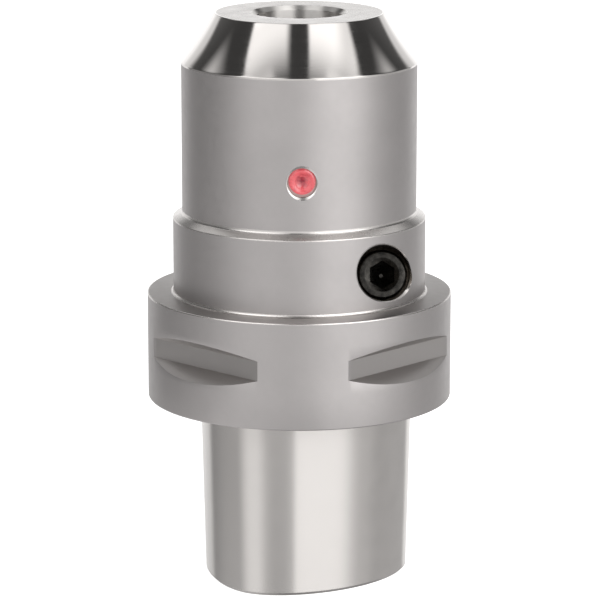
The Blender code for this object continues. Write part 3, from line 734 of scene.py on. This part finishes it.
def bore_cutter(name, axis, rows, materials):
    # What a drill takes away: the rows' skin, laid along the bore's axis
    cutter = lofted(name, rows, False, materials)
    cutter.data.transform(axis)
    return cutter


def hexagon_cutter(name, across_flats, top, bottom, material):
    # Hexagon key socket with the blunt point of the drill at its bottom; a corner points up
    corner_r = across_flats / 2 / math.cos(math.pi / 6)
    turns = [math.pi / 2 + turn for turn in even_turns(6)]
    point = bottom - across_flats / 2 / math.tan(DRILL_POINT)
    rows = [
        (circle_row(turns, corner_r, top + OVERCUT), 0),
        (circle_row(turns, corner_r, bottom), 0),
        (circle_row(turns, across_flats * DRILL_BLUNTNESS, point), 0),
    ]
    return lofted(name, rows, False, [material])


def nose_flare():
    # The nose's hollow arc, from its rim to the barrel's shoulder
    chord = Vector((BARREL_RADIUS - NOSE_FACE_RADIUS, -NOSE_HEIGHT))
    start = Vector((NOSE_FACE_RADIUS, face_z))
    rise = math.sqrt(NOSE_FLARE_RADIUS ** 2 - chord.length_squared / 4)
    centre = start + chord / 2 + rise * Vector((-chord.y, chord.x)).normalized()
    first = math.atan2(start.y - centre.y, start.x - centre.x)
    sweep = 2 * math.asin(chord.length / 2 / NOSE_FLARE_RADIUS)
    flare = []
    for step in range(1, FLARE_STEPS):
        angle = first + sweep * step / FLARE_STEPS
        x = centre.x + NOSE_FLARE_RADIUS * math.cos(angle)
        y = centre.y + NOSE_FLARE_RADIUS * math.sin(angle)
        flare.append((x, y, 0.0))
    return flare


def chuck_body(finishes, clamp_axis, bleed_axis, clamp_face, clamp_tip):
    # Everything turned, ground, milled and bored in the one piece of steel
    turns = body_turns()
    bore_r = SLEEVE_RADIUS + BRAZE_GAP
    wall_top = gauge_z + GROOVE_HEIGHT + GROOVE_MARGIN
    wall_bottom = gauge_z + GROOVE_HEIGHT - GROOVE_MARGIN
    nose = [
        (NOSE_FACE_RADIUS - NOSE_RIM * 2, face_z, 0.0),
        (NOSE_FACE_RADIUS, face_z, NOSE_RIM),
        *nose_flare(),
        (BARREL_RADIUS, shoulder_z, EDGE_ROUND),
        (BARREL_RADIUS, shoulder_z - 2 * EDGE_ROUND, 0.0),
    ]
    ledge = [
        (BARREL_RADIUS, ledge_z + BARREL_FOOT_SLOPE + BARREL_FOOT_FILLET, 0.0),
        (BARREL_RADIUS, ledge_z + BARREL_FOOT_SLOPE, BARREL_FOOT_FILLET),
        (COLLAR_RADIUS, ledge_z, EDGE_ROUND),
        (COLLAR_RADIUS, ledge_z - PAST_FILLET * EDGE_ROUND, 0.0),
    ]
    flange_top = [
        (COLLAR_RADIUS, flange_top_z + PAST_FILLET * COLLAR_FOOT_FILLET, 0.0),
        (COLLAR_RADIUS, flange_top_z, COLLAR_FOOT_FILLET),
        (FLANGE_RADIUS, flange_top_z, FLANGE_EDGE),
        (FLANGE_RADIUS, flange_top_z - PAST_FILLET * FLANGE_EDGE, 0.0),
    ]
    lower = [
        (FLANGE_RADIUS, wall_bottom, 0.0),
        (FLANGE_RADIUS, gauge_z, FLANGE_EDGE),
        (FLANGE_RADIUS - 2 * FLANGE_EDGE, gauge_z, 0.0),
    ]
    rows = [(circle_row(turns, bore_r, face_z), FACED)]
    rows += profile_rows(turns, nose, POLISHED, BLASTED)
    rows += step_rows(turns, ledge, FACED)
    rows += step_rows(turns, flange_top, MILLED)
    rows += profile_rows(turns, [(FLANGE_RADIUS, wall_top, 0.0)], BLASTED)
    rows += groove_rows(turns)
    rows += profile_rows(turns, lower, BLASTED, FACED)
    shank_end = [
        (gauge_z, 0.0),
        (2 * SHANK_END_CHAMFER, 0.0),
        (SHANK_END_CHAMFER, 0.0),
        (0.0, 2 * SHANK_END_CHAMFER),
    ]
    rows += [(polygon_row(turns, height, narrower), GROUND) for height, narrower in shank_end]
    rows[-1] = (rows[-1][0], FACED)
    rows += axial_bore_rows(turns, bore_r)
    body = lofted("body", rows, True, finishes)
    for cutter in side_bores(clamp_axis, bleed_axis, clamp_face, clamp_tip, finishes):
        cut(body, cutter)
    smooth(body)
    return body


def axial_bore_rows(turns, bore_r):
    # Up through the drawbar cavity, centre thread, coolant bore, stop bore and sleeve seat
    cavity_z = gauge_z - DRAWBAR_FLOOR
    groove_top = cavity_z - CLAMPING_GROOVE_SINK
    groove_bottom = groove_top - CLAMPING_GROOVE_WIDTH
    flank = CLAMPING_GROOVE_DEPTH * math.tan(CLAMPING_FLANK)
    groove_r = DRAWBAR_RADIUS + CLAMPING_GROOVE_DEPTH
    thread_top = cavity_z + CENTRE_THREAD_LENGTH
    point = (CENTRE_THREAD_MINOR - COOLANT_BORE_RADIUS) / math.tan(DRILL_POINT)
    seat_z = sleeve_tail_z
    soft = 2 * EDGE_SOFTNESS
    cavity = [
        (DRAWBAR_RADIUS + DRAWBAR_MOUTH_CHAMFER * DRAWBAR_MOUTH_FLARE, 0.0, 0.0),
        (DRAWBAR_RADIUS, DRAWBAR_MOUTH_CHAMFER, soft),
        (DRAWBAR_RADIUS, groove_bottom, soft),
        (groove_r, groove_bottom + flank, soft),
        (groove_r, groove_top - flank, soft),
        (DRAWBAR_RADIUS, groove_top, soft),
        (DRAWBAR_RADIUS, cavity_z, soft),
        (CENTRE_THREAD_MINOR + CENTRE_THREAD_CHAMFER, cavity_z, soft),
        (CENTRE_THREAD_MINOR, cavity_z + CENTRE_THREAD_CHAMFER, 0.0),
    ]
    above = [
        (CENTRE_THREAD_MINOR, thread_top - point, 0.0),
        (COOLANT_BORE_RADIUS, thread_top, 0.0),
        (COOLANT_BORE_RADIUS, stop_shoulder_z, 0.0),
        (STOP_BORE_RADIUS, stop_shoulder_z, 0.0),
        (STOP_BORE_RADIUS, seat_z - STOP_BORE_CHAMFER, 0.0),
        (STOP_BORE_RADIUS + STOP_BORE_CHAMFER, seat_z, 0.0),
        (bore_r, seat_z, 0.0),
    ]
    rows = profile_rows(turns, cavity, BORED)
    bottom = cavity_z + CENTRE_THREAD_CHAMFER
    top = thread_top - point
    rows += thread_rows(
        turns, bottom, top, CENTRE_THREAD_MINOR, CENTRE_THREAD_PITCH, OUTWARDS, BORED)
    rows += profile_rows(turns, above, BORED)
    return rows


def side_bores(clamp_axis, bleed_axis, clamp_face, clamp_tip, finishes):
    # The sloping bore of the clamping screw and the level bore of the bleed screw
    turns = even_turns(BORE_COLUMNS)
    lead_start = clamp_face + CLAMP_LEAD
    lead_end = lead_start - (CLAMP_ENTRY_RADIUS - CLAMP_THREAD_RADIUS)
    plain_start = clamp_tip - CLAMP_PLAIN_START
    plain = [
        (CLAMP_PLAIN_RADIUS, plain_start - (CLAMP_THREAD_RADIUS - CLAMP_PLAIN_RADIUS)),
        (CLAMP_PLAIN_RADIUS, plain_start - CLAMP_PLAIN_LENGTH),
    ]
    inner_rows = [(circle_row(turns, CLAMP_ENTRY_RADIUS, lead_start), WALL)]
    inner_rows += thread_rows(
        turns, lead_end, plain_start, CLAMP_THREAD_RADIUS, CLAMP_SCREW_PITCH, OUTWARDS, WALL)
    inner_rows += [(circle_row(turns, radius, distance), WALL) for radius, distance in plain]
    # The clamping bore's wall takes the oily finish, whose dark colour is partly painted shade
    yield clamping_cutter(clamp_axis, inner_rows, finishes[FACED], finishes[OILED_AND_SHADED])
    bleed_tip = BARREL_RADIUS - BLEED_SCREW_SINK - BLEED_SCREW_LENGTH
    bleed_r = BLEED_SCREW_RADIUS
    mouth_depth = (BLEED_MOUTH_RADIUS - bleed_r) * math.tan(BLEED_MOUTH_SLOPE)
    widest_r = BLEED_MOUTH_RADIUS + OVERCUT / math.tan(BLEED_MOUTH_SLOPE)
    bleed_rows = [
        (widest_r, BARREL_RADIUS + OVERCUT, MOUTH),
        (bleed_r, BARREL_RADIUS - mouth_depth, WALL),
        (bleed_r, bleed_tip, WALL),
        (BLEED_DRILL_RADIUS, bleed_tip - (bleed_r - BLEED_DRILL_RADIUS), WALL),
        (BLEED_DRILL_RADIUS, bleed_tip - BLEED_BALL_ROOM, WALL),
    ]
    yield bore_cutter("bleed_bore", bleed_axis, [
        (circle_row(turns, radius, distance), slot) for radius, distance, slot in bleed_rows
    ], [finishes[FACED], finishes[BORED]])


def expansion_sleeve(honed, faced):
    # Thin-walled sleeve; its front end is faced with the nose, its bore is honed
    turns = even_turns(2 * BORE_COLUMNS)
    chamber_r = SLEEVE_RADIUS - OIL_CHAMBER_DEPTH
    top_z = face_z - BRAZE_LAND
    tail_z = sleeve_tail_z + BRAZE_LAND - SLEEVE_TAIL_CHAMFER
    middle_z = (top_z + tail_z) / 2
    wiper_r = TOOL_BORE_RADIUS + WIPER_GROOVE_DEPTH
    wiper_z = WIPER_GROOVE_WIDTH / 2
    outside = [
        (SLEEVE_RADIUS, face_z, 0.0),
        (SLEEVE_RADIUS, top_z, 0.0),
        (chamber_r, top_z, 0.0),
        (chamber_r, middle_z + MIDDLE_LAND / 2, 0.0),
        (SLEEVE_RADIUS, middle_z + MIDDLE_LAND / 2, 0.0),
        (SLEEVE_RADIUS, middle_z - MIDDLE_LAND / 2, 0.0),
        (chamber_r, middle_z - MIDDLE_LAND / 2, 0.0),
        (chamber_r, tail_z, 0.0),
        (SLEEVE_RADIUS, tail_z, 0.0),
        (SLEEVE_RADIUS, sleeve_tail_z + SLEEVE_TAIL_CHAMFER, 0.0),
        (SLEEVE_RADIUS - SLEEVE_TAIL_CHAMFER, sleeve_tail_z, 0.0),
    ]
    bore = [
        (TOOL_BORE_RADIUS + SLEEVE_TAIL_CHAMFER, sleeve_tail_z, 0.0),
        (TOOL_BORE_RADIUS, sleeve_tail_z + SLEEVE_TAIL_CHAMFER, EDGE_SOFTNESS),
        (TOOL_BORE_RADIUS, middle_z - wiper_z, EDGE_SOFTNESS),
        (wiper_r, middle_z - wiper_z + WIPER_GROOVE_DEPTH, EDGE_SOFTNESS),
        (wiper_r, middle_z + wiper_z - WIPER_GROOVE_DEPTH, EDGE_SOFTNESS),
        (TOOL_BORE_RADIUS, middle_z + wiper_z, EDGE_SOFTNESS),
        (TOOL_BORE_RADIUS, face_z - TOOL_BORE_CHAMFER, EDGE_SOFTNESS),
        (TOOL_BORE_RADIUS + TOOL_BORE_CHAMFER, face_z, EDGE_SOFTNESS),
        (SLEEVE_RADIUS, face_z, 0.0),
    ]
    rows = profile_rows(turns, outside, HONED) + profile_rows(turns, bore, HONED)
    rows[-2] = (rows[-2][0], FRONT)
    sleeve = lofted("sleeve", rows, True, [honed, faced])
    smooth(sleeve)
    return sleeve


def screw_limit(radius, chamfer, top, bottom):
    # Cuts a thread's crests to the chamfers at a screw's two ends
    def limit(reach, height):
        ends = min(top - height, height - bottom)
        return min(reach, radius - chamfer + max(ends, 0.0))
    return limit


def clamping_screw(material, clamp_axis, face, tip):
    # Headless screw with a countersunk hexagon socket; its thread shows in the bore's wide entry
    turns = even_turns(SCREW_COLUMNS)
    ring_r = CLAMP_COUNTERSINK_RADIUS
    edge_r = CLAMP_SCREW_RADIUS - CLAMP_SCREW_CHAMFER
    below = face - CLAMP_SCREW_CHAMFER
    top = [
        (0.0, face - ring_r * math.tan(KEY_COUNTERSINK_SLOPE), 0.0),
        (ring_r, face, CLAMP_FACE_ROUND),
        (edge_r, face, CLAMP_FACE_ROUND),
        (CLAMP_SCREW_RADIUS - EDGE_SOFTNESS, below + EDGE_SOFTNESS, 0.0),
    ]
    # Only the tip is chamfered by the limit: its top is put far above the thread
    far_above = 2 * face
    limit = screw_limit(CLAMP_SCREW_RADIUS, CLAMP_SCREW_CHAMFER, far_above, tip)
    rows = profile_rows(turns, top)
    rows += thread_rows(
        turns, below, tip, CLAMP_SCREW_RADIUS, CLAMP_SCREW_PITCH, INWARDS, limit=limit)
    rows.append((circle_row(turns, 0.0, tip), 0))
    screw = lofted("clamping_screw_body", rows, True, [material])
    cut(screw, hexagon_cutter("clamping_key", CLAMP_KEY, face, face - CLAMP_SOCKET_DEPTH, material))
    screw.data.transform(clamp_axis)
    smooth(screw)
    return screw


def bleed_screw(material, bleed_axis, face):
    # Small headless screw under the lacquer
    turns = even_turns(SCREW_COLUMNS // 2)
    edge_r = BLEED_SCREW_RADIUS - BLEED_SCREW_CHAMFER
    tip = face - BLEED_SCREW_LENGTH
    corners = [
        (0.0, face, 0.0),
        (edge_r, face, EDGE_SOFTNESS),
        (BLEED_SCREW_RADIUS, face - BLEED_SCREW_CHAMFER, EDGE_SOFTNESS),
        (BLEED_SCREW_RADIUS, tip + BLEED_SCREW_CHAMFER, EDGE_SOFTNESS),
        (edge_r, tip, 0.0),
        (0.0, tip, 0.0),
    ]
    screw = lofted("bleed_screw_body", profile_rows(turns, corners), True, [material])
    cut(screw, hexagon_cutter("bleed_key", BLEED_KEY, face, face - BLEED_SOCKET_DEPTH, material))
    screw.data.transform(bleed_axis)
    smooth(screw)
    return screw


def lacquer_seal(material, bleed_axis, face):
    # A blob of lacquer over the bleed screw, sunk over its socket and thick at the rim
    turns = even_turns(SCREW_COLUMNS)
    skin = [(share * LACQUER_RADIUS, height * MM) for share, height in LACQUER_SKIN]
    under = [
        (BLEED_KEY / 2, LACQUER_UNDERSIDE),
        (BLEED_KEY / 2 - LACQUER_PLUG_GAP, -LACQUER_PLUG_DEPTH),
        (0.0, -LACQUER_PLUG_DEPTH),
    ]
    rows = [(circle_row(turns, radius, face + height), 0) for radius, height in skin + under]
    seal = lofted("lacquer_seal", rows, True, [material])
    seal.data.transform(bleed_axis)
    smooth(seal)
    return seal


def length_stop_screw(material):
    # Fine thread above, spigot with the ring's groove below, coolant hole through both
    turns = even_turns(SCREW_COLUMNS)
    spigot_z = stop_shoulder_z - STOP_SPIGOT_LENGTH
    groove_z = spigot_z + ORING_END_WALL
    edge_r = STOP_SCREW_RADIUS - STOP_SCREW_CHAMFER
    top = [
        (STOP_HOLE_RADIUS, stop_face_z, 0.0),
        (edge_r - EDGE_SOFTNESS, stop_face_z, 0.0),
    ]
    below = [
        (STOP_SPIGOT_RADIUS, stop_shoulder_z, 0.0),
        (STOP_SPIGOT_RADIUS, groove_z + ORING_GROOVE_WIDTH, EDGE_SOFTNESS),
        (ORING_GROOVE_RADIUS, groove_z + ORING_GROOVE_WIDTH, EDGE_SOFTNESS),
        (ORING_GROOVE_RADIUS, groove_z, EDGE_SOFTNESS),
        (STOP_SPIGOT_RADIUS, groove_z, EDGE_SOFTNESS),
        (STOP_SPIGOT_RADIUS, spigot_z, EDGE_SOFTNESS),
        (STOP_HOLE_RADIUS, spigot_z, 0.0),
    ]
    limit = screw_limit(STOP_SCREW_RADIUS, STOP_SCREW_CHAMFER, stop_face_z, stop_shoulder_z)
    rows = profile_rows(turns, top)
    rows += thread_rows(
        turns, stop_face_z, stop_shoulder_z, STOP_SCREW_RADIUS, STOP_SCREW_PITCH, INWARDS,
        limit=limit)
    rows += profile_rows(turns, below)
    screw = lofted("length_stop_screw_body", rows, True, [material])
    floor = stop_face_z - STOP_SOCKET_DEPTH
    cut(screw, hexagon_cutter("stop_key", STOP_KEY, stop_face_z, floor, material))
    smooth(screw)
    return screw


def dress(name, material):
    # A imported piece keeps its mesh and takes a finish
    mesh = frame["nodes"][name].data
    mesh.materials.clear()
    mesh.materials.append(material)


def studio():
    # White surroundings for the camera, and soft panels round a dark room for all else
    world = bpy.data.worlds.new("studio")
    world.use_nodes = True
    tree = world.node_tree
    tree.nodes.clear()
    place = add_node(tree, "ShaderNodeTexCoord").outputs["Generated"]
    parts = add_node(tree, "ShaderNodeSeparateXYZ", {"Vector": place}).outputs
    forward = add_node(tree, "ShaderNodeMath", {0: parts["Y"], 1: -1.0}, operation="MULTIPLY")
    turn = add_node(tree, "ShaderNodeMath", {0: parts["X"], 1: forward}, operation="ARCTAN2")
    azimuth = add_node(tree, "ShaderNodeMath", {0: turn}, operation="DEGREES")
    climb = add_node(tree, "ShaderNodeMath", {0: parts["Z"]}, operation="ARCSINE")
    elevation = add_node(tree, "ShaderNodeMath", {0: climb}, operation="DEGREES")
    light = DARK_ROOM
    for left, right, bottom, top, brightness in STUDIO_PANELS.values():
        # Azimuths are counted from the panel's middle, so that their jump at 180 lies opposite it
        middle = (left[0] + right[0]) / 2
        aside = add_node(tree, "ShaderNodeMath", {0: azimuth, 1: middle}, operation="SUBTRACT")
        turned = add_node(tree, "ShaderNodeMath", {0: aside, 1: 180.0, 2: -180.0}, operation="WRAP")
        edges = []
        for (side, softness, lean), inside in ((left, (0.0, 1.0)), (right, (1.0, 0.0))):
            lent = add_node(tree, "ShaderNodeMath", {0: elevation, 1: -lean, 2: LEAN_HEIGHT * lean},
                            operation="MULTIPLY_ADD")
            across = add_node(tree, "ShaderNodeMath", {0: turned, 1: lent}, operation="ADD")
            edges.append((across, side - middle, softness, inside))
        for (height, softness), inside in ((bottom, (0.0, 1.0)), (top, (1.0, 0.0))):
            edges.append((elevation, height, softness, inside))
        share = 1.0
        for value, where, softness, (before, after) in edges:
            ramp = add_node(tree, "ShaderNodeMapRange", {
                "Value": value, "From Min": where - softness / 2, "From Max": where + softness / 2,
                "To Min": before, "To Max": after,
            }, interpolation_type="SMOOTHSTEP")
            share = add_node(tree, "ShaderNodeMath", {0: share, 1: ramp}, operation="MULTIPLY")
        light = add_node(tree, "ShaderNodeMath", {0: share, 1: brightness, 2: light},
                         operation="MULTIPLY_ADD")
    seen = add_node(tree, "ShaderNodeLightPath").outputs["Is Camera Ray"]
    strength = add_node(tree, "ShaderNodeMix", {
        "Factor": seen, NUMBER_A: light, NUMBER_B: 1.0,
    }, data_type="FLOAT").outputs[NUMBER_OUT]
    background = add_node(tree, "ShaderNodeBackground", {
        "Color": (1.0, 1.0, 1.0, 1.0), "Strength": strength,
    })
    add_node(tree, "ShaderNodeOutputWorld", {"Surface": background})
    bpy.context.scene.world = world


def pale_floor():
    # Plain near-white floor that only the camera sees
    mesh = bpy.data.meshes.new("floor")
    shape = bmesh.new()
    bmesh.ops.create_grid(shape, x_segments=1, y_segments=1, size=FLOOR_REACH)
    shape.to_mesh(mesh)
    shape.free()
    floor = bpy.data.objects.new("floor", mesh)
    floor.location.z = -FLOOR_SINK
    bpy.context.scene.collection.objects.link(floor)
    material = bpy.data.materials.new("pale_floor")
    material.use_nodes = True
    tree = material.node_tree
    tree.nodes.clear()
    paint = add_node(tree, "ShaderNodeBsdfDiffuse", {
        "Color": (FLOOR_PAINT, FLOOR_PAINT, FLOOR_PAINT, 1.0),
    })
    glow = add_node(tree, "ShaderNodeEmission", {"Strength": FLOOR_GLOW})
    both = add_node(tree, "ShaderNodeAddShader", {0: paint, 1: glow})
    add_node(tree, "ShaderNodeOutputMaterial", {"Surface": both})
    mesh.materials.append(material)
    floor.visible_glossy = False
    floor.visible_diffuse = False
    floor.visible_shadow = False


def place_camera():
    # The photograph's viewpoint: through a long lens, from somewhat above the nose
    data = bpy.data.cameras.new("camera")
    data.lens = CAMERA_LENS
    data.clip_end = CAMERA_REACH
    camera = bpy.data.objects.new("camera", data)
    level = CAMERA_DISTANCE * math.cos(CAMERA_ELEVATION)
    camera.location = (
        level * math.sin(CAMERA_AZIMUTH),
        -level * math.cos(CAMERA_AZIMUTH),
        CAMERA_PIVOT_HEIGHT + CAMERA_DISTANCE * math.sin(CAMERA_ELEVATION),
    )
    camera.rotation_euler = (CAMERA_AIM - camera.location).to_track_quat("-Z", "Y").to_euler()
    bpy.context.scene.collection.objects.link(camera)
    bpy.context.scene.camera = camera


def bore_axis(origin, slope):
    # Frame of a bore that opens towards -Y: its Z points outwards, its Y upwards
    return Matrix.Translation(origin) @ Matrix.Rotation(math.radians(90) - slope, 4, "X")


place_camera()
studio()
pale_floor()
bpy.context.scene.view_settings.view_transform = "Standard"

clamp_joint = next(joint for joint in frame["joints"] if joint["name"] == "clamp_turn")
clamp_origin = Vector(clamp_joint["pos_m"])
clamp_slope = math.asin(-clamp_joint["axis"][2])
clamp_axis = bore_axis(clamp_origin, clamp_slope)
bleed_axis = bore_axis((0.0, 0.0, bleed_z), 0.0)
clamp_mouth = math.sqrt(COLLAR_RADIUS ** 2 - clamp_origin.x ** 2) / math.cos(clamp_slope)
clamp_face = clamp_mouth - CLAMP_SCREW_SINK
clamp_tip = clamp_face - CLAMP_SCREW_LENGTH
bleed_face = BARREL_RADIUS - BLEED_SCREW_SINK

honed = honed_steel()
faced = faced_steel()
blackened = black_oxide_steel("black_oxide_steel", clamp_origin, math.radians(90) - clamp_slope)
finishes = [
    blasted_steel(),
    polished_steel(),
    faced,
    ground_steel(),
    bored_steel(),
    milled_steel(),
    oiled_and_shaded_steel(),
]

body = chuck_body(finishes, clamp_axis, bleed_axis, clamp_face, clamp_tip)
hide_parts("chuck_body")
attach(body, "chuck")

sleeve = expansion_sleeve(honed, faced)
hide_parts("expansion_sleeve")
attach(sleeve, "chuck")

screw = clamping_screw(blackened, clamp_axis, clamp_face, clamp_tip)
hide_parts("clamping_screw")
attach(screw, "clamp_screw")

bleed = bleed_screw(blackened, bleed_axis, bleed_face)
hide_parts("bleed_screw")
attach(bleed, "chuck")

seal = lacquer_seal(red_lacquer(), bleed_axis, bleed_face)
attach(seal, "chuck")

stop = length_stop_screw(black_oxide_steel("dark_screw_steel"))
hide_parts("length_stop_screw")
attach(stop, "stop_screw")

rubber = nitrile_rubber()
dress("pressure_piston", pin_steel())
dress("backup_ring", filled_ptfe())
dress("piston_seal", rubber)
dress("stop_screw_oring", rubber)
dress("bleed_ball", ball_steel())
